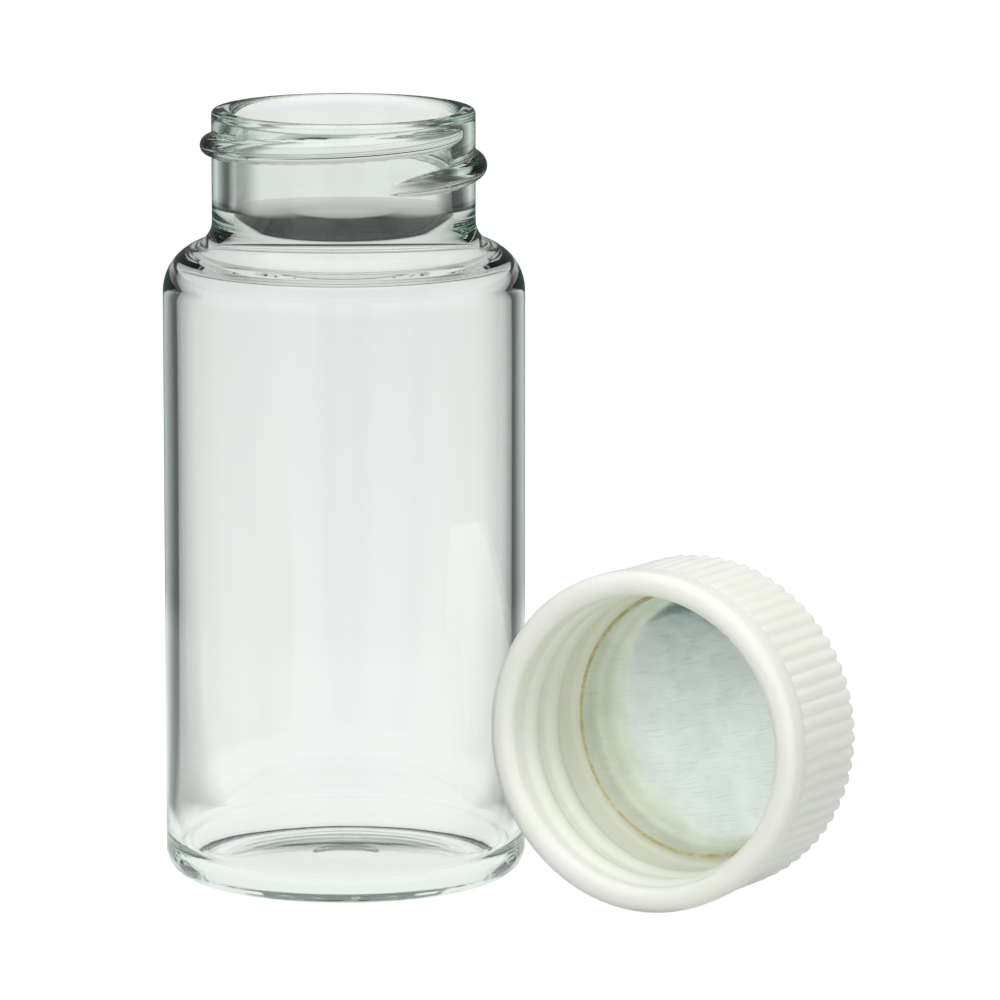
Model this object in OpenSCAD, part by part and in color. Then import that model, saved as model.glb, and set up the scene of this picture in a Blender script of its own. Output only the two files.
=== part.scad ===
// Glass sample vial with a ribbed screw cap, which lies beside it on its side.
// Millimetres, +Z up, origin at the centre of the face that the vial stands on.

/* [Vial body] */
// Outside diameter of the body
body_d = 27.5; // [24:0.1:34]
// Height of the glass from the standing face to the rim
vial_h = 58.8; // [50:0.1:80]
// Thickness of the body wall
body_wall = 1.1; // [0.8:0.05:1.6]
// Rounding between the body wall and the standing face
heel_r = 2; // [1.6:0.1:3]
// Rounding between the body wall and the inside floor
floor_r = 1.6; // [1:0.1:3]
// Thickness of the glass floor at its edge
floor_t = 1.3; // [1.1:0.1:2.4]
// Width of the flat ring that the vial stands on
stand_w = 0.8; // [0.5:0.1:1.5]
// How far the underside rises at the centre
pushup_h = 0.6; // [0.3:0.1:1]
// How far the inside floor rises at the centre
dome_h = 0.5; // [0.2:0.1:1]
// Diameter of the round hollow at the centre of the underside
hollow_d = 4.8; // [3:0.1:7]
// Depth of the round hollow
hollow_h = 0.25; // [0.15:0.05:0.5]

/* [Shoulder and neck] */
// Outside diameter of the neck between the threads
neck_d = 20; // [18:0.1:21]
// Diameter of the mouth
mouth_d = 16.4; // [14:0.1:17]
// Height of the neck from the top of the shoulder to the rim
neck_h = 10.3; // [8:0.1:13]
// Convex rounding of the shoulder
shoulder_r = 4; // [2.8:0.1:4.4]
// Hollow rounding between the neck and the shoulder
neck_root_r = 1.1; // [0.6:0.1:1.6]
// Rounding inside, where the neck opens into the body
throat_r = 1.9; // [1:0.1:2.2]
// Rounding of the outer edge of the rim
rim_outer_r = 0.6; // [0.4:0.05:0.9]
// Rounding of the inner edge of the rim
rim_inner_r = 0.6; // [0.3:0.05:0.8]

/* [Neck thread] */
// How far the glass thread stands out from the neck
thread_rise = 0.95; // [0.6:0.05:1.1]
// Width of the glass thread at the neck
thread_w = 2.15; // [1.6:0.05:2.4]
// Rise of the thread in one turn
thread_pitch = 3.175; // [2.8:0.025:3.6]
// Length of the glass thread as an angle
thread_turn = 405; // [300:5:450]
// Length over which each end of the glass thread fades out, as an angle
thread_fade = 30; // [15:1:45]
// Depth of the upper end of the glass thread below the rim
thread_drop = 1.35; // [1.1:0.05:1.8]
// Direction in which the glass thread ends at the top
thread_end = -25; // [-180:5:180]

/* [Cap] */
// Height of the cap
cap_h = 11.1; // [9.5:0.1:15]
// Thickness of the closed end
cap_top_t = 0.9; // [0.7:0.05:1.5]
// Thickness of the wall at the smooth band
cap_wall = 1.85; // [1.6:0.05:2.4]
// Gap between the glass thread and the inside wall of the cap
cap_clear = 0.2; // [0.1:0.05:0.4]
// Width of the smooth band at the open end
band_w = 2.2; // [1.2:0.1:3]
// How far the smooth band stands above the ribs
band_step = 0.15; // [0.1:0.05:0.3]
// Rounding of the outer edge of the open end
lip_outer_r = 0.7; // [0.3:0.05:0.8]
// Rounding of the inner edge of the open end
lip_inner_r = 0.8; // [0.3:0.05:0.8]
// Rounding of the edge of the closed end
cap_edge_r = 0.8; // [0.4:0.05:1]
// Number of gripping ribs
rib_count = 72; // [48:2:80]
// Height of a rib
rib_h = 0.25; // [0.2:0.05:0.4]
// Radius of the rounded back of a rib
rib_r = 0.4; // [0.3:0.02:0.42]
// Gap between the cap thread and the neck
cap_thread_clear = 0.22; // [0.1:0.02:0.4]
// Width of the cap thread at the wall
cap_thread_w = 1.7; // [1.2:0.05:1.9]
// Length of the cap thread as an angle
cap_thread_turn = 600; // [480:5:640]
// Length over which each end of the cap thread fades out, as an angle
cap_thread_fade = 10; // [6:1:40]
// Distance of the cap thread's start from the open end
cap_thread_in = 2; // [1.8:0.05:2.6]
// Direction in which the cap thread starts, turned round the cap's own axis
cap_thread_start = 288; // [0:1:359]

/* [Liner] */
// Thickness of the pulp board
board_t = 0.5; // [0.4:0.05:1]
// Thickness of the foil facing
foil_t = 0.05; // [0.04:0.01:0.15]
// How far the board reaches past the sealing width of the neck
board_over = 0.4; // [0.2:0.05:0.45]
// Gap between the edge of the board and the seat moulded into the cap
board_gap = 0.2; // [0.1:0.05:0.25]
// How far the foil stays inside the edge of the board
foil_inset = 0.3; // [0.1:0.05:0.4]

/* [Cap at rest] */
// Direction in which the closed end of the resting cap points
cap_turn = 61; // [40:1:80]
// Gap between the resting cap and the vial
cap_gap = 0.12; // [0.1:0.02:1]
// How far the open end lies ahead of the spot nearest to the vial
cap_ahead = 2.4; // [0:0.1:6]

/* [Hidden] */
$fn = 96;

body_r = body_d / 2;
inside_r = body_r - body_wall;
neck_r = neck_d / 2;
mouth_r = mouth_d / 2;
stand_r = body_r - heel_r;
recess_r = stand_r - stand_w;

// the shoulder's arc is tangent to the body wall, the neck's root to the neck and to that arc
shoulder_x = body_r - shoulder_r;
shoulder_top = vial_h - neck_h;
shoulder_z = shoulder_top - shoulder_r;
root_x = neck_r + neck_root_r;
root_z = shoulder_z + sqrt(pow(shoulder_r + neck_root_r, 2) - pow(root_x - shoulder_x, 2));
root_share = shoulder_r / (shoulder_r + neck_root_r);
tangent_x = shoulder_x + (root_x - shoulder_x) * root_share;
tangent_z = shoulder_z + (root_z - shoulder_z) * root_share;

// inside, the same centre carries the shoulder, and the throat's arc is tangent to it and to the bore
inner_shoulder_r = shoulder_r - body_wall;
throat_x = mouth_r + throat_r;
throat_z = shoulder_z + sqrt(pow(inner_shoulder_r + throat_r, 2) - pow(throat_x - shoulder_x, 2));
inner_share = inner_shoulder_r / (inner_shoulder_r + throat_r);
inner_tangent_x = shoulder_x + (throat_x - shoulder_x) * inner_share;
inner_tangent_z = shoulder_z + (throat_z - shoulder_z) * inner_share;

dome_edge = inside_r - floor_r;

// ridges: how far they are let into the wall, points across them, angle between two sections,
// and the share of its width that a ridge keeps where it fades out
ridge_sink = 0.35;
ridge_parts = 8;
ridge_step = 5;
ridge_end_w = 0.35;

// the turned glass closes at the back, midway between two sections of the thread
seam_turn = thread_end + 23.5 * ridge_step;

// how far a cutting shape reaches past the surface that it opens
reach = 1;

// the cap's own sizes follow the neck and its thread
crest_r = neck_r + thread_rise;
cap_in_r = crest_r + cap_clear;
band_r = cap_in_r + cap_wall;
rib_top_r = band_r - band_step;
rib_root_r = rib_top_r - rib_h;
cap_thread_rise = cap_in_r - neck_r - cap_thread_clear;
cap_floor_z = cap_h - cap_top_t;
board_r = neck_r + board_over;
seat_r = board_r + board_gap;
seat_round = cap_in_r - seat_r;
foil_r = board_r - foil_inset;
board_z = cap_floor_z - board_t;
foil_z = board_z - foil_t;

// the ribs run on to where the closed end's rounding cuts their backs
rib_clip = 0.05;
clip_reach = sqrt(pow(cap_edge_r, 2) - pow(cap_edge_r - rib_clip, 2));

// the cap rests on its smooth band and on the backs of its ribs at the closed end
rest_span = cap_h - cap_edge_r + clip_reach - band_w;
cap_tilt = atan(band_step / rest_span);
rest_z = band_r * cos(cap_tilt) + band_w * sin(cap_tilt);
side_dist = body_r + cap_gap + band_r;
rest_x = side_dist * sin(cap_turn) - cap_ahead * cos(cap_turn);
rest_y = -side_dist * cos(cap_turn) - cap_ahead * sin(cap_turn);

// share of full height at a place along a ridge, with both ends let into the wall
function fade_in(at, turn, fade) = sin(90 * min(1, min(at, turn - at) / fade));
function end_share(rise) = ridge_sink / (abs(rise) + ridge_sink) / 2;

// one cross-section of a ridge: a half ellipse whose flat side lies inside the wall
function ridge_ring(wall_r, rise, width, share, at, up) =
    let (side = sign(rise))
    let (base_r = wall_r - side * ridge_sink)
    let (full = abs(rise) + ridge_sink)
    let (half = width / 2 / sqrt(1 - pow(ridge_sink / full, 2)))
    [for (j = [0:ridge_parts])
        let (turn = -90 + 180 * j / ridge_parts)
        let (out = base_r + side * full * share * cos(turn))
        [out * cos(at), out * sin(at), up + side * half * (ridge_end_w + (1 - ridge_end_w) * share) * sin(turn)]];

// a right-hand ridge that climbs as it turns; a negative rise stands inward
module ridge(wall_r, rise, width, pitch, turn, fade) {
    rings = round(turn / ridge_step);
    size = ridge_parts + 1;
    low = end_share(rise);
    points = [for (i = [0:rings])
        let (at = turn * i / rings)
        let (share = low + (1 - low) * fade_in(at, turn, fade))
        each ridge_ring(wall_r, rise, width, share, at, pitch * at / 360)];
    sides = [for (i = [0:rings - 1])
        for (j = [0:size - 1])
            let (k = (j + 1) % size)
            each [[i * size + j, i * size + k, (i + 1) * size + k],
                [i * size + j, (i + 1) * size + k, (i + 1) * size + j]]];
    first = [for (j = [1:size - 2]) [0, j + 1, j]];
    last = [for (j = [1:size - 2]) [rings * size, rings * size + j, rings * size + j + 1]];
    polyhedron(points, concat(sides, first, last));
}

// section of a shallow dome that rises by h over a circle of radius r, with its foot carried down
module dome_section(r, h) {
    round_r = (pow(r, 2) + pow(h, 2)) / (2 * h);
    translate([0, h - round_r]) intersection() {
        circle(round_r, $fn = 360);
        translate([-reach, round_r - h - reach / 2]) square([round_r, h + reach]);
    }
}

// the half plane across the axis, which a turned outline must stay out of
module axis_side() {
    translate([-body_d, -vial_h]) square([body_d, 3 * vial_h]);
}

// outline of the glass as if it were solid, from the axis outward
module glass_outline() {
    difference() {
        union() {
            polygon([
                [0, 0],
                [stand_r, 0],
                [body_r, heel_r],
                [body_r, shoulder_z],
                [tangent_x, tangent_z],
                [neck_r, root_z],
                [neck_r, vial_h - rim_outer_r],
                [neck_r - rim_outer_r, vial_h],
                [0, vial_h]]);
            translate([stand_r, heel_r]) circle(heel_r);
            translate([shoulder_x, shoulder_z]) circle(shoulder_r);
            translate([neck_r - rim_outer_r, vial_h - rim_outer_r]) circle(rim_outer_r);
        }
        translate([root_x, root_z]) circle(neck_root_r);
        dome_section(recess_r, pushup_h);
        translate([0, pushup_h]) dome_section(hollow_d / 2, hollow_h);
        axis_side();
    }
}

// outline of the space inside, open past the rim
module space_outline() {
    difference() {
        union() {
            polygon([
                [0, floor_t],
                [dome_edge, floor_t],
                [inside_r, floor_t + floor_r],
                [inside_r, shoulder_z],
                [inner_tangent_x, inner_tangent_z],
                [mouth_r, throat_z],
                [mouth_r, vial_h - rim_inner_r],
                [mouth_r + rim_inner_r, vial_h],
                [mouth_r + rim_inner_r, vial_h + reach],
                [0, vial_h + reach]]);
            translate([dome_edge, floor_t + floor_r]) circle(floor_r);
            translate([shoulder_x, shoulder_z]) circle(inner_shoulder_r);
        }
        translate([throat_x, throat_z]) circle(throat_r);
        translate([mouth_r + rim_inner_r, vial_h - rim_inner_r]) circle(rim_inner_r);
        translate([0, floor_t]) dome_section(dome_edge, dome_h);
        axis_side();
    }
}

module vial() {
    color([0.86, 0.92, 0.88, 0.45])
    union() {
        rotate(seam_turn) rotate_extrude() difference() {
            glass_outline();
            space_outline();
        }
        translate([0, 0, vial_h - thread_drop - thread_pitch * thread_turn / 360])
            rotate(thread_end - thread_turn)
            ridge(neck_r, thread_rise, thread_w, thread_pitch, thread_turn, thread_fade);
    }
}

// places a piece of the cap, drawn with its open end at zero and its closed end up
module at_rest() {
    translate([rest_x, rest_y, rest_z]) rotate([0, 90 + cap_tilt, cap_turn]) children();
}

// smooth band at the open end and the core that carries the ribs
module cap_shell_outline() {
    union() {
        polygon([
            [0, 0],
            [band_r - lip_outer_r, 0],
            [band_r, lip_outer_r],
            [band_r, band_w],
            [rib_root_r, band_w + band_step],
            [rib_root_r, cap_h - cap_edge_r],
            [rib_root_r - cap_edge_r, cap_h],
            [0, cap_h]]);
        translate([band_r - lip_outer_r, lip_outer_r]) circle(lip_outer_r);
        translate([rib_root_r - cap_edge_r, cap_h - cap_edge_r]) circle(cap_edge_r);
    }
}

module cap_space_outline() {
    difference() {
        union() {
            polygon([
                [0, -reach],
                [cap_in_r + lip_inner_r, -reach],
                [cap_in_r + lip_inner_r, 0],
                [cap_in_r, lip_inner_r],
                [cap_in_r, cap_floor_z - seat_round],
                [seat_r, cap_floor_z],
                [0, cap_floor_z]]);
            translate([seat_r, cap_floor_z - seat_round]) circle(seat_round);
        }
        translate([cap_in_r + lip_inner_r, lip_inner_r]) circle(lip_inner_r);
    }
}

// one layer through all the ribs
module rib_section() {
    circle(rib_root_r);
    for (i = [0:rib_count - 1])
        rotate(i * 360 / rib_count) translate([rib_top_r - rib_r, 0]) circle(rib_r, $fn = 16);
}

module ribs() {
    intersection() {
        translate([0, 0, band_w / 2]) linear_extrude(cap_h) rib_section();
        rotate_extrude() union() {
            square([rib_top_r + rib_clip, cap_h - cap_edge_r]);
            square([rib_top_r + rib_clip - cap_edge_r, cap_h]);
            translate([rib_top_r + rib_clip - cap_edge_r, cap_h - cap_edge_r]) circle(cap_edge_r);
        }
    }
}

module cap() {
    color([0.95, 0.95, 0.9])
    at_rest() union() {
        difference() {
            union() {
                rotate_extrude() cap_shell_outline();
                ribs();
            }
            rotate_extrude() cap_space_outline();
        }
        translate([0, 0, cap_thread_in])
            rotate(cap_thread_start)
            ridge(cap_in_r, -cap_thread_rise, cap_thread_w, thread_pitch, cap_thread_turn, cap_thread_fade);
    }
}

module liner_board() {
    color([0.85, 0.8, 0.62])
    at_rest() translate([0, 0, board_z]) cylinder(r = board_r, h = board_t);
}

module liner_foil() {
    color([0.76, 0.81, 0.79])
    at_rest() translate([0, 0, foil_z]) cylinder(r = foil_r, h = foil_t);
}

vial();
cap();
liner_board();
liner_foil();
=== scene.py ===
# Glass sample vial with its ribbed cap lying beside it
from math import atan, atan2, cos, degrees, hypot, pi, radians, sin, sqrt

import bmesh
import bpy
from mathutils import Matrix, Vector


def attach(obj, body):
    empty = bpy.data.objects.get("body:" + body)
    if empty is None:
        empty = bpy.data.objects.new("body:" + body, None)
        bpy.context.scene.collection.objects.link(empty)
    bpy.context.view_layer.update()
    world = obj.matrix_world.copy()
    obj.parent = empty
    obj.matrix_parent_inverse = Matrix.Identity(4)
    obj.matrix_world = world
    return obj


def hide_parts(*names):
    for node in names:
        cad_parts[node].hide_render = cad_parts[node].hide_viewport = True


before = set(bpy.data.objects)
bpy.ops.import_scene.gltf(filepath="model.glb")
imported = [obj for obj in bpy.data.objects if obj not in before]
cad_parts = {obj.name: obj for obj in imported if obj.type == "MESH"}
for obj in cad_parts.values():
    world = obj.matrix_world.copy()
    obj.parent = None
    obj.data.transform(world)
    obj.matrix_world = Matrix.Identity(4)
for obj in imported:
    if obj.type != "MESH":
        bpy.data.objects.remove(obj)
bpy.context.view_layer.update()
mm = 0.001
print("frame loaded:", ", ".join(sorted(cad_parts)))


# mesh helpers

def arc(centre, radius, start, end, steps):
    # points on an arc in the half plane, angles in degrees from +r towards +z
    points = []
    for i in range(steps + 1):
        a = radians(start + (end - start) * i / steps)
        points.append((centre[0] + radius * cos(a), centre[1] + radius * sin(a)))
    return points


def line(start, end, steps):
    # points after start, up to and with end
    return [(start[0] + (end[0] - start[0]) * i / steps, start[1] + (end[1] - start[1]) * i / steps)
            for i in range(1, steps + 1)]


def spinProfile(profile, segments):
    # turns a profile of (radius, height) in mm about Z, an eighth of a turn that is then doubled three times
    bm = bmesh.new()
    verts = [bm.verts.new((r * mm, 0, z * mm)) for r, z in profile]
    edges = [bm.edges.new(pair) for pair in zip(verts, verts[1:])]
    bmesh.ops.spin(bm, geom=verts + edges, cent=(0, 0, 0), axis=(0, 0, 1), angle=pi / 4,
                   steps=segments // 8, use_duplicate=False)
    for share in (pi / 4, pi / 2, pi):
        copy = bmesh.ops.duplicate(bm, geom=bm.verts[:] + bm.edges[:] + bm.faces[:])["geom"]
        bmesh.ops.rotate(bm, verts=[item for item in copy if isinstance(item, bmesh.types.BMVert)],
                         cent=(0, 0, 0), matrix=Matrix.Rotation(share, 3, "Z"))
    bmesh.ops.remove_doubles(bm, verts=bm.verts, dist=0.002 * mm)
    return bm


def finishPiece(bm, name, place=None):
    # recalculates normals, puts the piece in its place and smooths it
    bmesh.ops.recalc_face_normals(bm, faces=bm.faces)
    if place is not None:
        bm.transform(place)
    mesh = bpy.data.meshes.new(name)
    bm.to_mesh(mesh)
    bm.free()
    mesh.polygons.foreach_set("use_smooth", [True] * len(mesh.polygons))
    piece = bpy.data.objects.new(name, mesh)
    bpy.context.scene.collection.objects.link(piece)
    print("made", name, "with", len(mesh.polygons), "faces")
    return piece


def smoothStep(x):
    x = min(1.0, max(0.0, x))
    return x * x * (3 - 2 * x)


def threadRise(thread, angle, height):
    # how far a right-hand thread stands out at an angle in degrees and a height in mm
    best = 0.0
    travel = (angle - thread["start"]) % 360
    while travel <= thread["turn"]:
        centre = thread["height"] + thread["pitch"] * travel / 360
        fade = sin(pi / 2 * min(1, min(travel, thread["turn"] - travel) / thread["fade"]))
        half = thread["width"] / 2 * (0.45 + 0.55 * fade)
        across = (height - centre) / half
        if across < 0:
            across /= thread["low"]      # the foot below is shorter than the one above
        if abs(across) < 1:
            best = max(best, thread["rise"] * fade * (1 - across * across) ** thread["round"])
        travel += 360
    return best


# the vial

vial = {
    "bodyR": 13.75, "height": 58.8, "wall": 1.0, "heel": 2.0,
    "standWidth": 2.1, "pushUp": 0.65, "hollowR": 2.5, "hollow": 0.3,
    "floor": 0.95, "floorRound": 2.4, "dome": 0.55,              # glass under the floor's lowest ring, its corner, its rise
    "neckR": 10.0, "mouthR": 8.2, "neckHeight": 10.05, "shoulder": 3.8, "neckRoot": 1.9,
    "throat": 5.4, "innerShoulder": 1.8, "innerUp": 0.6,                       # the inside runs from the bore to the body in an S
    "rimOuter": 0.35, "rimInner": 0.9,
    "waver": 0.004,        # unevenness of the pressed inside wall
    "heelWaver": 0.02,     # and of the heel where it was rolled shut
    "segments": 288,
}
vialThread = {"pitch": 3.175, "turn": 405, "fade": 30, "rise": 0.88, "width": 1.7, "low": 0.95, "round": 0.5}
vialThread["start"] = -25 - vialThread["turn"]
vialThread["height"] = vial["height"] - 1.35 - vialThread["pitch"] * vialThread["turn"] / 360


def domeArc(radius, height, base, steps):
    # a shallow dome's outline from its edge to the axis
    ball = (radius ** 2 + height ** 2) / (2 * height)
    edge = degrees(atan2(radius, ball - height))
    return arc((0, base + height - ball), ball, 90 - edge, 90, steps)


def makeVial(v):
    top = v["height"] - v["neckHeight"]
    shoulderX, shoulderZ = v["bodyR"] - v["shoulder"], top - v["shoulder"]
    rootX = v["neckR"] + v["neckRoot"]
    rootZ = shoulderZ + sqrt((v["shoulder"] + v["neckRoot"]) ** 2 - (rootX - shoulderX) ** 2)
    meet = degrees(atan2(rootZ - shoulderZ, rootX - shoulderX))
    insideR = v["bodyR"] - v["wall"]
    standR = v["bodyR"] - v["heel"]
    underside = domeArc(standR - v["standWidth"], v["pushUp"], 0, 40)
    profile = []
    # underside, from the axis outward, with the round hollow laid over the push-up
    ballR = ((standR - v["standWidth"]) ** 2 + v["pushUp"] ** 2) / (2 * v["pushUp"])
    for r in [v["hollowR"] * i / 12 for i in range(12)] + [v["hollowR"] + step for step in (-0.06, 0.02, 0.1, 0.4, 0.8, 1.2)]:
        z = v["pushUp"] - ballR + sqrt(ballR ** 2 - r * r)
        profile.append((r, z + v["hollow"] * max(0.0, 1 - (r / v["hollowR"]) ** 2)))
    profile += [p for p in reversed(underside) if p[0] > 3.8]
    profile += line(profile[-1], (standR, 0), 4)
    profile += arc((standR, v["heel"]), v["heel"], -90, 0, 16)[1:]
    profile += line((v["bodyR"], v["heel"]), (v["bodyR"], shoulderZ), 24)
    profile += arc((shoulderX, shoulderZ), v["shoulder"], 0, meet, 18)[1:]
    profile += arc((rootX, rootZ), v["neckRoot"], meet + 180, 180, 12)[1:]
    rimStart = v["height"] - v["rimOuter"]
    profile += line((v["neckR"], rootZ), (v["neckR"], rimStart), 96)
    profile += arc((v["neckR"] - v["rimOuter"], rimStart), v["rimOuter"], 0, 90, 10)[1:]
    profile += line(profile[-1], (v["mouthR"] + v["rimInner"], v["height"]), 3)
    profile += arc((v["mouthR"] + v["rimInner"], v["height"] - v["rimInner"]), v["rimInner"], 90, 180, 8)[1:]
    # down the bore, out through the throat's arc and back round the inner shoulder, each touching the next
    throatX, innerX, innerZ = v["mouthR"] + v["throat"], insideR - v["innerShoulder"], shoulderZ + v["innerUp"]
    throatZ = innerZ + sqrt((v["throat"] + v["innerShoulder"]) ** 2 - (throatX - innerX) ** 2)
    swing = degrees(atan2(throatZ - innerZ, throatX - innerX))
    profile += line(profile[-1], (v["mouthR"], throatZ), 10)
    profile += arc((throatX, throatZ), v["throat"], 180, 180 + swing, 22)[1:]
    profile += arc((innerX, innerZ), v["innerShoulder"], swing, 0, 16)[1:]
    # the floor's corner runs up into the dome over the push-up
    bend = v["floor"] + v["floorRound"]
    cornerX = insideR - v["floorRound"]
    crown = v["floor"] + v["dome"]
    rise = bend - crown
    ball = (cornerX ** 2 + rise ** 2 - v["floorRound"] ** 2) / (2 * (v["floorRound"] - rise))
    lean = degrees(atan2(cornerX, bend - crown + ball))
    profile += line((insideR, innerZ), (insideR, bend), 20)
    profile += arc((cornerX, bend), v["floorRound"], 0, -90 - lean, 20)[1:]
    profile += arc((0, crown - ball), ball, 90 - lean, 90, 18)[1:]
    bm = spinProfile(profile, v["segments"])
    for vert in bm.verts:
        x, y, z = vert.co / mm
        r = hypot(x, y)
        if r < 0.01:
            continue
        turn = atan2(y, x)
        if r > v["neckR"] - 0.01 and z > rootZ:
            grown = r + threadRise(vialThread, degrees(turn), z)
        elif r > v["mouthR"] and r < insideR + 0.01 and bend < z < innerZ:
            # the inside wall wavers a little round the vial and slowly up it
            wave = sin(5 * turn + z * 0.03) + 0.7 * sin(11 * turn - z * 0.05 + 1.3) + 0.4 * sin(23 * turn + 2.1)
            ends = smoothStep((z - bend) / 6) * smoothStep((innerZ - z) / 6)
            grown = r + v["waver"] * wave * ends
        elif standR - 1.2 < r < v["bodyR"] - 0.2 and z < 0.7:
            wave = 0.5 * sin(31 * turn + 0.7) + 0.3 * sin(53 * turn + 2.0) + 0.2 * sin(83 * turn) - 1
            grown = r + v["heelWaver"] * wave * smoothStep((r - standR + 1.2) / 0.8)
        else:
            continue
        vert.co.x *= grown / r
        vert.co.y *= grown / r
    return finishPiece(bm, "glassVial")


vialPiece = makeVial(vial)


# the cap

cap = {
    "height": 11.1, "topThick": 0.9, "wall": 1.85, "clear": 0.2, "band": 2.2, "step": 0.15,
    "lipOuter": 0.7, "lipInner": 0.8, "edge": 0.8, "ribs": 72, "ribHeight": 0.25, "ribClip": 0.05,
    "turn": 61, "gap": 0.12, "ahead": 2.4, "boardR": 10.4, "boardGap": 0.2,
    "threadRise": 0.9,
    "perRib": 12,
}
cap["inR"] = vial["neckR"] + cap["threadRise"] + cap["clear"]
cap["bandR"] = cap["inR"] + cap["wall"]
cap["rootR"] = cap["bandR"] - cap["step"] - cap["ribHeight"]
capThread = {"pitch": 3.175, "turn": 600, "fade": 10, "start": 288, "height": 2.0, "width": 2.3, "low": 1, "round": 1.2}
capThread["rise"] = cap["inR"] - vial["neckR"] - 0.72


def capPlace(c):
    # lays the cap, drawn with its open end at zero, on its side against the vial
    clip = sqrt(c["edge"] ** 2 - (c["edge"] - c["ribClip"]) ** 2)
    tilt = atan(c["step"] / (c["height"] - c["edge"] + clip - c["band"]))
    aside = vial["bodyR"] + c["gap"] + c["bandR"]
    turn = radians(c["turn"])
    place = Vector((aside * sin(turn) - c["ahead"] * cos(turn), -aside * cos(turn) - c["ahead"] * sin(turn),
                    c["bandR"] * cos(tilt) + c["band"] * sin(tilt))) * mm
    return Matrix.Translation(place) @ Matrix.Rotation(turn, 4, "Z") @ Matrix.Rotation(pi / 2 + tilt, 4, "Y")


def makeCap(c):
    floorZ = c["height"] - c["topThick"]
    seatR = c["boardR"] + c["boardGap"]
    seatRound = c["inR"] - seatR
    edgeX, edgeZ = c["rootR"] - c["edge"], c["height"] - c["edge"]
    profile = [(0, c["height"])] + line((0, c["height"]), (edgeX, c["height"]), 5)
    profile += arc((edgeX, edgeZ), c["edge"], 90, 0, 8)[1:]
    profile += line((c["rootR"], edgeZ), (c["rootR"], c["band"] + 0.32), 10)
    profile += [(c["rootR"], c["band"] + 0.22), (c["rootR"] + 0.06, c["band"] + 0.12), (c["bandR"] - 0.08, c["band"] + 0.04)]
    profile += arc((c["bandR"] - 0.08, c["band"] - 0.08), 0.08, 60, 0, 3)
    profile += line(profile[-1], (c["bandR"], c["lipOuter"]), 3)
    profile += arc((c["bandR"] - c["lipOuter"], c["lipOuter"]), c["lipOuter"], 0, -90, 8)[1:]
    profile += line(profile[-1], (c["inR"] + c["lipInner"], 0), 2)
    profile += arc((c["inR"] + c["lipInner"], c["lipInner"]), c["lipInner"], 270, 180, 8)[1:]
    profile += line((c["inR"], c["lipInner"]), (c["inR"], floorZ - seatRound), 54)
    profile += arc((seatR, floorZ - seatRound), seatRound, 0, 90, 5)[1:]
    profile += line((seatR, floorZ), (0, floorZ), 4)
    bm = spinProfile(profile, c["ribs"] * c["perRib"])
    for vert in bm.verts:
        x, y, z = vert.co / mm
        r = hypot(x, y)
        if r < 0.01:
            continue
        turn = degrees(atan2(y, x))
        if r > edgeX + 0.001 and z > c["band"] + 0.1 and r > c["inR"] + 0.2:
            share = (turn * c["ribs"] / 360 + 0.5) % 1 - 0.5
            back = max(0.0, 1 - (share / 0.38) ** 2) ** 0.6
            ends = min(1.0, (r - edgeX) / c["edge"]) * smoothStep((z - c["band"] - 0.1) / 0.2)
            grown = r + c["ribHeight"] * back * ends
        elif abs(r - c["inR"]) < 0.01 and c["lipInner"] - 0.01 < z < floorZ - seatRound + 0.01:
            grown = r - threadRise(capThread, turn, z)
        else:
            continue
        vert.co.x *= grown / r
        vert.co.y *= grown / r
    return finishPiece(bm, "ribbedCap", capPlace(c))


capPiece = makeCap(cap)


# the liner

liner = {"boardThick": 0.5, "foilThick": 0.05, "foilR": 10.1, "bevel": 0.06}


def makeDisc(name, radius, low, high, bevel, segments=180):
    profile = [(0, low)] + line((0, low), (radius - bevel, low), 6)
    profile += arc((radius - bevel, low + bevel), bevel, -90, 0, 4)[1:]
    profile += arc((radius - bevel, high - bevel), bevel, 0, 90, 4)
    profile += line(profile[-1], (0, high), 6)
    return finishPiece(spinProfile(profile, segments), name, capPlace(cap))


boardTop = cap["height"] - cap["topThick"]
boardPiece = makeDisc("pulpBoard", cap["boardR"], boardTop - liner["boardThick"], boardTop, liner["bevel"])
foilPiece = makeDisc("foilFacing", liner["foilR"], boardTop - liner["boardThick"] - liner["foilThick"],
                     boardTop - liner["boardThick"], liner["foilThick"] * 0.45)

for piece, node, slot in ((vialPiece, "vial", "glass"), (capPiece, "cap", "cap_plastic"),
                          (boardPiece, "liner_board", "pulp_board"), (foilPiece, "liner_foil", "foil")):
    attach(piece, "root")
    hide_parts(node)


# materials

def newMaterial(name):
    material = bpy.data.materials.new(name)
    material.use_nodes = True
    tree = material.node_tree
    return material, tree.nodes, tree.links, tree.nodes["Principled BSDF"], tree.nodes["Material Output"]


def sumNode(nodes, links, operation, first, second=None, clamp=False):
    node = nodes.new("ShaderNodeMath")
    node.operation = operation
    node.use_clamp = clamp
    for socket, value in zip(node.inputs, (first, second)):
        if isinstance(value, (int, float)):
            socket.default_value = value
        elif value is not None:
            links.new(value, socket)
    return node.outputs[0]


def rampNode(nodes, links, value, low, high, toLow=0.0, toHigh=1.0):
    node = nodes.new("ShaderNodeMapRange")
    node.interpolation_type = "SMOOTHSTEP"
    for name, number in (("From Min", low), ("From Max", high), ("To Min", toLow), ("To Max", toHigh)):
        node.inputs[name].default_value = number
    links.new(value, node.inputs["Value"])
    return node.outputs[0]


def noiseNode(nodes, links, vector, scale, detail=2.0, rough=0.5):
    node = nodes.new("ShaderNodeTexNoise")
    node.inputs["Scale"].default_value = scale
    node.inputs["Detail"].default_value = detail
    node.inputs["Roughness"].default_value = rough
    links.new(vector, node.inputs["Vector"])
    return node.outputs["Fac"]


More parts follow.
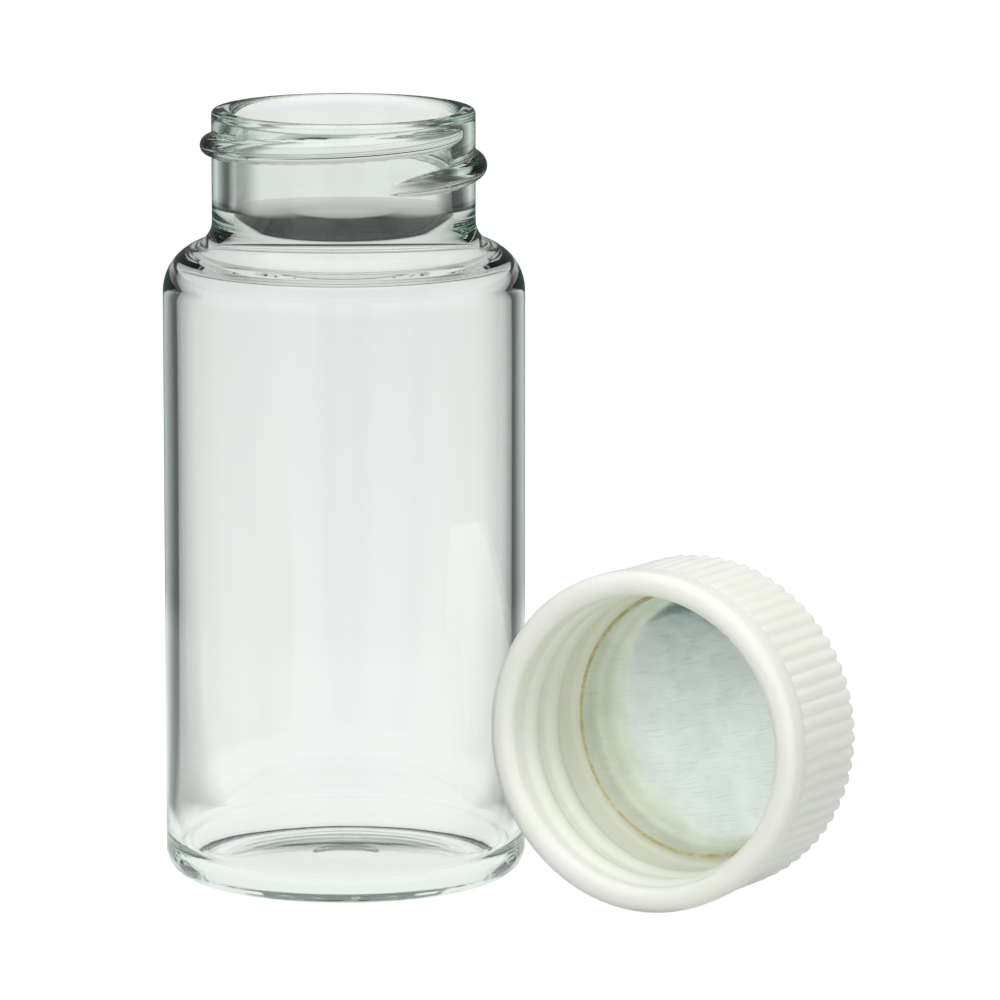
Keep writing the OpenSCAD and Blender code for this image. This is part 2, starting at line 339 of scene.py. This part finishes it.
def toneNode(nodes, links, share, first, second):
    # blends two colours
    node = nodes.new("ShaderNodeMix")
    node.data_type = "RGBA"
    links.new(share, node.inputs[0])
    node.inputs[6].default_value = first + (1,)
    node.inputs[7].default_value = second + (1,)
    return node.outputs[2]


def makeGrain():
    # the unevenness of moulded, pressed and rolled surfaces, as a slow mottle, a fine grain and their bump
    group = bpy.data.node_groups.new("surfaceGrain", "ShaderNodeTree")
    for name, number in (("Slow Scale", 300.0), ("Fine Scale", 9000.0), ("Slow Depth", 0.0), ("Fine Depth", 0.0)):
        group.interface.new_socket(name=name, in_out="INPUT", socket_type="NodeSocketFloat").default_value = number
    for name, kind in (("Slow", "NodeSocketFloat"), ("Fine", "NodeSocketFloat"), ("Normal", "NodeSocketVector")):
        group.interface.new_socket(name=name, in_out="OUTPUT", socket_type=kind)
    nodes, links = group.nodes, group.links
    enter, leave = nodes.new("NodeGroupInput"), nodes.new("NodeGroupOutput")
    place = nodes.new("ShaderNodeTexCoord")
    masks = []
    for scale, detail in (("Slow Scale", 2.0), ("Fine Scale", 3.0)):
        noise = nodes.new("ShaderNodeTexNoise")
        noise.inputs["Detail"].default_value = detail
        links.new(place.outputs["Object"], noise.inputs["Vector"])
        links.new(enter.outputs[scale], noise.inputs["Scale"])
        masks.append(noise.outputs["Fac"])
    slow = sumNode(nodes, links, "MULTIPLY", masks[0], enter.outputs["Slow Depth"])
    fine = sumNode(nodes, links, "MULTIPLY", masks[1], enter.outputs["Fine Depth"])
    bump = nodes.new("ShaderNodeBump")
    bump.inputs["Distance"].default_value = 1.0
    links.new(sumNode(nodes, links, "ADD", slow, fine), bump.inputs["Height"])
    links.new(rampNode(nodes, links, masks[0], 0.3, 0.7), leave.inputs["Slow"])
    links.new(rampNode(nodes, links, masks[1], 0.3, 0.7), leave.inputs["Fine"])
    links.new(bump.outputs[0], leave.inputs["Normal"])
    return group


surfaceGrain = makeGrain()


def grainNode(nodes, slowScale, fineScale, slowDepth, fineDepth):
    node = nodes.new("ShaderNodeGroup")
    node.node_tree = surfaceGrain
    for socket, number in zip(node.inputs, (slowScale, fineScale, slowDepth * mm, fineDepth * mm)):
        socket.default_value = number
    return node.outputs


glass = {
    "ior": 1.51, "tint": (0.42, 0.78, 0.50), "density": 42.0,
    "drawScale": (700.0, 700.0, 9.0), "drawDepth": 0.0016,       # faint lines up the drawn glass, depth in mm
}


def makeGlass(g):
    material, nodes, links, shader, out = newMaterial("clearGlass")
    shader.inputs["Base Color"].default_value = (1, 1, 1, 1)
    shader.inputs["Transmission Weight"].default_value = 1
    shader.inputs["Roughness"].default_value = 0.0
    shader.inputs["IOR"].default_value = g["ior"]
    place, stretch = nodes.new("ShaderNodeTexCoord"), nodes.new("ShaderNodeMapping")
    stretch.inputs["Scale"].default_value = g["drawScale"]
    links.new(place.outputs["Object"], stretch.inputs["Vector"])
    bump = nodes.new("ShaderNodeBump")
    bump.inputs["Distance"].default_value = g["drawDepth"] * mm
    links.new(noiseNode(nodes, links, stretch.outputs[0], 1.0), bump.inputs["Height"])
    links.new(bump.outputs[0], shader.inputs["Normal"])
    volume = nodes.new("ShaderNodeVolumeAbsorption")
    volume.inputs["Color"].default_value = g["tint"] + (1,)
    volume.inputs["Density"].default_value = g["density"]
    links.new(volume.outputs[0], out.inputs["Volume"])
    path = nodes.new("ShaderNodeLightPath")
    clear = nodes.new("ShaderNodeBsdfTransparent")
    clear.inputs["Color"].default_value = (0.96, 0.97, 0.96, 1)
    mix = nodes.new("ShaderNodeMixShader")
    links.new(path.outputs["Is Shadow Ray"], mix.inputs[0])
    links.new(shader.outputs[0], mix.inputs[1])
    links.new(clear.outputs[0], mix.inputs[2])
    links.new(mix.outputs[0], out.inputs["Surface"])
    return material


plastic = {
    "light": (0.91, 0.96, 0.84), "deep": (0.89, 0.945, 0.81), "roughLow": 0.34, "roughHigh": 0.44,
    "grain": (260.0, 8000.0, 0.006, 0.0022),      # mottle and grain per metre, then their depths in mm
    "soft": 0.0022,
}


def makePlastic(c):
    material, nodes, links, shader, out = newMaterial("ivoryPlastic")
    grain = grainNode(nodes, *c["grain"])
    links.new(toneNode(nodes, links, grain["Slow"], c["deep"], c["light"]), shader.inputs["Base Color"])
    links.new(rampNode(nodes, links, grain["Fine"], 0, 1, c["roughLow"], c["roughHigh"]), shader.inputs["Roughness"])
    links.new(grain["Normal"], shader.inputs["Normal"])
    shader.inputs["Subsurface Weight"].default_value = 1.0
    shader.inputs["Subsurface Radius"].default_value = (1, 1, 1)
    shader.inputs["Subsurface Scale"].default_value = c["soft"]
    return material


pulp = {
    "light": (0.80, 0.72, 0.44), "deep": (0.64, 0.55, 0.29), "grain": (900.0, 6000.0, 0.02, 0.012),
    "fibreScale": (2500.0, 2500.0, 9000.0), "fibreDark": 0.8,
}


def makePulp(c):
    material, nodes, links, shader, out = newMaterial("pulpBoardEdge")
    grain = grainNode(nodes, *c["grain"])
    place, stretch = nodes.new("ShaderNodeTexCoord"), nodes.new("ShaderNodeMapping")
    stretch.inputs["Scale"].default_value = c["fibreScale"]
    links.new(place.outputs["Object"], stretch.inputs["Vector"])
    fibre = rampNode(nodes, links, noiseNode(nodes, links, stretch.outputs[0], 1.0, 3.0, 0.6), 0.42, 0.62, 1.0, c["fibreDark"])
    tone = nodes.new("ShaderNodeVectorMath")
    tone.operation = "SCALE"
    links.new(toneNode(nodes, links, grain["Slow"], c["deep"], c["light"]), tone.inputs[0])
    links.new(fibre, tone.inputs["Scale"])
    links.new(tone.outputs[0], shader.inputs["Base Color"])
    links.new(grain["Normal"], shader.inputs["Normal"])
    shader.inputs["Roughness"].default_value = 0.88
    return material


foil = {
    "light": (0.92, 0.96, 0.93), "deep": (0.83, 0.88, 0.85), "roughLow": 0.10, "roughHigh": 0.18,
    "grain": (420.0, 14000.0, 0.010, 0.0006),
    "lean": 14.0,                                  # the rolling streaks rise by this many degrees
    "along": 420.0, "across": 9000.0, "from": 0.54, "to": 0.74, "streakDark": 0.88,
}


def makeFoil(c):
    material, nodes, links, shader, out = newMaterial("rolledFoil")
    grain = grainNode(nodes, *c["grain"])
    place = nodes.new("ShaderNodeTexCoord")
    turn, lean = radians(cap["turn"]), radians(c["lean"])
    level = Vector((sin(turn), -cos(turn), 0))     # runs level in the foil's plane
    ways = (level * cos(lean) + Vector((0, 0, sin(lean))), level * -sin(lean) + Vector((0, 0, cos(lean))))
    join = nodes.new("ShaderNodeCombineXYZ")
    for way, scale, socket in zip(ways, (c["along"], c["across"]), join.inputs):
        dot = nodes.new("ShaderNodeVectorMath")
        dot.operation = "DOT_PRODUCT"
        links.new(place.outputs["Object"], dot.inputs[0])
        dot.inputs[1].default_value = way * scale
        links.new(dot.outputs["Value"], socket)
    streak = rampNode(nodes, links, noiseNode(nodes, links, join.outputs[0], 1.0, 2.0, 0.6), c["from"], c["to"], 1.0, c["streakDark"])
    tone = nodes.new("ShaderNodeVectorMath")
    tone.operation = "SCALE"
    links.new(toneNode(nodes, links, grain["Slow"], c["deep"], c["light"]), tone.inputs[0])
    links.new(streak, tone.inputs["Scale"])
    links.new(tone.outputs[0], shader.inputs["Base Color"])
    shader.inputs["Metallic"].default_value = 1
    links.new(rampNode(nodes, links, grain["Fine"], 0, 1, c["roughLow"], c["roughHigh"]), shader.inputs["Roughness"])
    links.new(grain["Normal"], shader.inputs["Normal"])
    return material


for piece, material in ((vialPiece, makeGlass(glass)), (capPiece, makePlastic(plastic)),
                        (boardPiece, makePulp(pulp)), (foilPiece, makeFoil(foil))):
    piece.data.materials.append(material)
print("materials set")


# studio

studio = {
    "floorSize": 6.0,
    # painted shade and light: how bright the painted surroundings glow through the glass, by degrees from straight
    # ahead to the right
    "round": ((-180, 0.75), (-170, 0.45), (-158, 0.85), (-136, 0.8), (-125, 0.4), (-112, 0.85), (-95, 0.95), (-72, 0.9),
              (-60, 0.75), (-50, 0.5), (-42, 0.12), (-33, 0.1), (-28, 0.25), (-24, 0.38), (-19, 0.6), (-13, 1.0),
              (13, 1.0), (19, 0.6), (24, 0.38), (28, 0.25), (33, 0.1), (58, 0.1), (75, 0.35), (92, 0.45),
              (103, 0.4), (116, 0.85), (135, 0.95), (155, 0.85), (166, 0.45), (180, 0.75)),
    "paintedFlagReach": 0.006,                    # the painted flags open out by this much close to the vial
    "nearR": 0.022, "nearSoft": 0.012,     # painted light: through the glass the table glows bright this close all round
    "nearTone": 0.95, "farTone": 0.86, "farR": 0.35,
    # painted shade and light: the same by degrees up from the table's edge, with a painted dark band just above it
    "climb": ((0, 0.86), (1, 0.8), (3, 0.68), (5, 0.55), (5.7, 0.46), (6.6, 0.03), (11.2, 0.03), (12, 0.8), (13, 0.95), (20, 0.85), (30, 0.62),
              (48, 0.55), (60, 0.8), (75, 0.95), (90, 0.95)),
    "whiteShare": 0.8, "ambient": 0.42,
    # the table and room values paint what reflections show: a painted lit table and a painted dark room
    "tableR": 0.100, "tableSoft": 0.025, "tableTone": 0.62, "paintedPoolR": 0.04, "paintedPoolTone": 0.86,
    "tableTint": (0.94, 1.0, 0.96), "roomTint": (0.62, 1.0, 0.94), "roomTone": 0.15,
}


def rampStops(nodes, links, value, points):
    # a ramp through the given places and tones
    ramp = nodes.new("ShaderNodeValToRGB")
    stops = ramp.color_ramp.elements
    stops[0].position, stops[1].position = points[0][0], points[-1][0]
    for place, tone in points[1:-1]:
        stops.new(place)
    for stop, (place, tone) in zip(stops, points):
        stop.color = (tone, tone, tone, 1)
    links.new(value, ramp.inputs[0])
    return ramp.outputs[0]


def makePaintedFlags():
    # painted shade: dark flags painted round the table, with no real object there; puts out how bright the painted
    # surroundings glow along a direction
    group = bpy.data.node_groups.new("paintedFlagShade", "ShaderNodeTree")
    group.interface.new_socket(name="Vector", in_out="INPUT", socket_type="NodeSocketVector")
    group.interface.new_socket(name="Bright", in_out="OUTPUT", socket_type="NodeSocketFloat")
    nodes, links = group.nodes, group.links
    enter, leave = nodes.new("NodeGroupInput"), nodes.new("NodeGroupOutput")
    split = nodes.new("ShaderNodeSeparateXYZ")
    links.new(enter.outputs["Vector"], split.inputs[0])
    far = sumNode(nodes, links, "SQRT", sumNode(
        nodes, links, "ADD", sumNode(nodes, links, "MULTIPLY", split.outputs["X"], split.outputs["X"]),
        sumNode(nodes, links, "MULTIPLY", split.outputs["Y"], split.outputs["Y"])))
    shift = sumNode(nodes, links, "ARCSINE", sumNode(
        nodes, links, "MINIMUM", sumNode(nodes, links, "DIVIDE", studio["paintedFlagReach"], far), 1.0))
    turn = sumNode(nodes, links, "ARCTAN2", split.outputs["X"], split.outputs["Y"])
    side = sumNode(nodes, links, "SIGN", turn)
    turn = sumNode(nodes, links, "MAXIMUM", sumNode(
        nodes, links, "SUBTRACT", sumNode(nodes, links, "ABSOLUTE", turn), shift), 0.0)
    turn = sumNode(nodes, links, "MULTIPLY", turn, side)
    share = sumNode(nodes, links, "ADD", sumNode(nodes, links, "MULTIPLY", turn, 0.5 / pi), 0.5)
    links.new(rampStops(nodes, links, share, [(angle / 360 + 0.5, tone) for angle, tone in studio["round"]]), leave.inputs["Bright"])
    return group


paintedFlags = makePaintedFlags()


def mixNode(nodes, links, share, first, second):
    node = nodes.new("ShaderNodeMixShader")
    links.new(share, node.inputs[0])
    links.new(first, node.inputs[1])
    links.new(second, node.inputs[2])
    return node.outputs[0]


def makeFloor():
    bm = bmesh.new()
    bmesh.ops.create_grid(bm, x_segments=1, y_segments=1, size=studio["floorSize"] / 2)
    mesh = bpy.data.meshes.new("studioFloor")
    bm.to_mesh(mesh)
    bm.free()
    floor = bpy.data.objects.new("studioFloor", mesh)
    bpy.context.scene.collection.objects.link(floor)
    material = bpy.data.materials.new("paleFloor")
    material.use_nodes = True
    nodes, links = material.node_tree.nodes, material.node_tree.links
    nodes.clear()
    out = nodes.new("ShaderNodeOutputMaterial")
    path = nodes.new("ShaderNodeLightPath")
    place = nodes.new("ShaderNodeTexCoord")
    diffuse = nodes.new("ShaderNodeBsdfDiffuse")
    diffuse.inputs["Color"].default_value = (0.6, 0.6, 0.6, 1)
    white = nodes.new("ShaderNodeEmission")
    white.inputs["Strength"].default_value = 1.2
    seen = nodes.new("ShaderNodeMixShader")      # the camera sees white with a faint shadow in it
    seen.inputs[0].default_value = studio["whiteShare"]
    links.new(diffuse.outputs[0], seen.inputs[1])
    links.new(white.outputs[0], seen.inputs[2])
    far = nodes.new("ShaderNodeVectorMath")
    far.operation = "LENGTH"
    links.new(place.outputs["Object"], far.inputs[0])
    # painted shade and light: through the glass the floor glows with the painted flags, and glows bright close to the
    # vial
    paintedFlagTone = nodes.new("ShaderNodeGroup")
    paintedFlagTone.node_tree = paintedFlags
    links.new(place.outputs["Object"], paintedFlagTone.inputs["Vector"])
    near = rampNode(nodes, links, far.outputs["Value"], studio["nearR"], studio["nearR"] + studio["nearSoft"], 1, 0)
    bright = sumNode(nodes, links, "MAXIMUM", paintedFlagTone.outputs[0], near)
    # painted light: this glow through the glass dims from near the vial to far
    fade = rampNode(nodes, links, far.outputs["Value"], 0.05, studio["farR"], studio["nearTone"], studio["farTone"])
    tone = sumNode(nodes, links, "MULTIPLY", bright, fade)
    through = nodes.new("ShaderNodeEmission")
    links.new(tone, through.inputs["Strength"])
    # painted reflection: in a reflection the floor glows as a painted pool of light on the table that ends a hand's
    # width away, with a painted dark room beyond
    edge = rampNode(nodes, links, far.outputs["Value"], studio["tableR"], studio["tableR"] + studio["tableSoft"])
    lit = rampNode(nodes, links, far.outputs["Value"], studio["paintedPoolR"], studio["tableR"], studio["paintedPoolTone"], studio["tableTone"])
    glow = nodes.new("ShaderNodeMix")
    links.new(edge, glow.inputs[0])
    links.new(lit, glow.inputs[2])
    glow.inputs[3].default_value = studio["roomTone"]
    paintedReflection = nodes.new("ShaderNodeEmission")
    links.new(toneNode(nodes, links, edge, studio["tableTint"], studio["roomTint"]), paintedReflection.inputs["Color"])
    links.new(glow.outputs[0], paintedReflection.inputs["Strength"])
    shader = mixNode(nodes, links, path.outputs["Is Camera Ray"], diffuse.outputs[0], seen.outputs[0])
    shader = mixNode(nodes, links, path.outputs["Is Glossy Ray"], shader, paintedReflection.outputs[0])
    shader = mixNode(nodes, links, path.outputs["Is Transmission Ray"], shader, through.outputs[0])
    links.new(shader, out.inputs["Surface"])
    mesh.materials.append(material)


def makeWorld():
    world = bpy.data.worlds.new("studioRoom")
    bpy.context.scene.world = world
    world.use_nodes = True
    nodes, links = world.node_tree.nodes, world.node_tree.links
    nodes.clear()
    out = nodes.new("ShaderNodeOutputWorld")
    path = nodes.new("ShaderNodeLightPath")
    place = nodes.new("ShaderNodeTexCoord")
    paintedFlagTone = nodes.new("ShaderNodeGroup")
    paintedFlagTone.node_tree = paintedFlags
    links.new(place.outputs["Generated"], paintedFlagTone.inputs["Vector"])
    split = nodes.new("ShaderNodeSeparateXYZ")
    links.new(place.outputs["Generated"], split.inputs[0])
    height = sumNode(nodes, links, "ARCSINE", split.outputs["Z"], 0)
    steep = sumNode(nodes, links, "MULTIPLY", height, 2 / pi)
    climb = rampStops(nodes, links, steep, [(angle / 90, tone) for angle, tone in studio["climb"]])
    low = rampNode(nodes, links, height, radians(6.5), radians(11), 0, 1)      # the painted flags end under the painted softboxes
    bright = sumNode(nodes, links, "MULTIPLY", sumNode(nodes, links, "MAXIMUM", paintedFlagTone.outputs[0], low), climb)
    # painted reflection: a painted softbox overhead, glowing only in reflections, over a painted dark room
    over = rampNode(nodes, links, height, radians(50), radians(56), 0, 1.1)
    room = sumNode(nodes, links, "MAXIMUM", over, studio["roomTone"])
    sheets = []
    for strength in (studio["ambient"], room, bright, 1.0):
        sheet = nodes.new("ShaderNodeBackground")
        if isinstance(strength, float):
            sheet.inputs["Strength"].default_value = strength
        else:
            links.new(strength, sheet.inputs["Strength"])
        sheets.append(sheet.outputs[0])
    sheet.inputs["Color"].default_value = (1, 1, 1, 1)     # the camera sees white
    # reflections see the painted room and softbox, the glass sees the painted surroundings, and everything else gets an
    # even ambient
    shader = mixNode(nodes, links, path.outputs["Is Glossy Ray"], sheets[0], sheets[1])
    shader = mixNode(nodes, links, path.outputs["Is Transmission Ray"], shader, sheets[2])
    shader = mixNode(nodes, links, path.outputs["Is Camera Ray"], shader, sheets[3])
    links.new(shader, out.inputs["Surface"])


lamps = {
    "key": {"at": (-0.26, -0.62, 0.60), "size": 0.6, "power": 1.6},
    "front": {"at": (0.34, -0.74, 0.20), "size": 0.7, "power": 2.1},
    "top": {"at": (0.02, -0.36, 0.76), "size": 0.5, "power": 3.1},
    "back": {"at": (0.22, 0.74, 0.40), "size": 0.7, "power": 3.4},
}


def makeLamps():
    target = Vector((0.008, 0, 0.025))
    for name, lamp in lamps.items():
        data = bpy.data.lights.new(name, "AREA")
        data.shape = "SQUARE"
        data.size = lamp["size"]
        data.energy = lamp["power"]
        lampObject = bpy.data.objects.new(name, data)
        lampObject.location = lamp["at"]
        lampObject.rotation_euler = (target - Vector(lamp["at"])).to_track_quat("-Z", "Y").to_euler()
        lampObject.visible_glossy = lampObject.visible_transmission = False    # reflections show the world's painted softbox instead
        bpy.context.scene.collection.objects.link(lampObject)


makeFloor()
makeWorld()
makeLamps()
print("studio set")

view = {"at": (0.0150, -0.600, 0.1358), "down": 10.114, "right": -0.302, "focal": 7994}   # focal length in picture pixels
camera = bpy.data.objects.new("camera", bpy.data.cameras.new("camera"))
camera.data.sensor_width = 36
camera.data.lens = view["focal"] / 1000 * 36
camera.data.clip_start = 0.01
camera.location = view["at"]
camera.rotation_euler = (radians(90 - view["down"]), 0, radians(-view["right"]))
bpy.context.scene.collection.objects.link(camera)
bpy.context.scene.camera = camera
bpy.context.scene.view_settings.view_transform = "Standard"
bpy.context.scene.cycles.max_bounces = 24
bpy.context.scene.cycles.diffuse_bounces = 8
bpy.context.scene.cycles.transmission_bounces = 20
bpy.context.scene.cycles.glossy_bounces = 8
